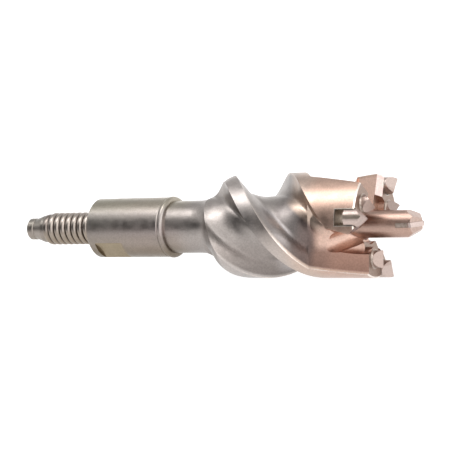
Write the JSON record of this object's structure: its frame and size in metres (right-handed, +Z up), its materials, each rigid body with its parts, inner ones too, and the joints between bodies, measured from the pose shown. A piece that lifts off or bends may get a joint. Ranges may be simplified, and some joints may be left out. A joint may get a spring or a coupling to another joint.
{
  "type": "breakthrough drill bit head",
  "caption": "Screw-on percussive drill head with a rope-threaded shank, wrench-flatted collar, helical auger flutes, a stud-armed cutting head and a centre pilot.",
  "frame": {"origin": "on the tool axis, in the plane of the collar's rear shoulder, where the threaded shank leaves it", "axes": "+X along the tool axis towards the pilot's tip; +Z up as the tool lies on a floor; right-hand turning about +X, seen from the shank end, is the cutting direction"},
  "size_m": [0.1834, 0.0434, 0.0423],
  "materials": {
    "steel": "blasted, heat tinted copper at the head",
    "stud_metal": "satin sintered hard metal",
    "tip_metal": "satin sintered hard metal"
  },
  "bodies": {
    "root": {"body": "steel", "inner_stud_1": "stud_metal", "inner_stud_2": "stud_metal", "inner_stud_3": "stud_metal", "outer_stud_1": "stud_metal", "outer_stud_2": "stud_metal", "outer_stud_3": "stud_metal", "pilot_tip": "tip_metal"}
  },
  "joints": []
}
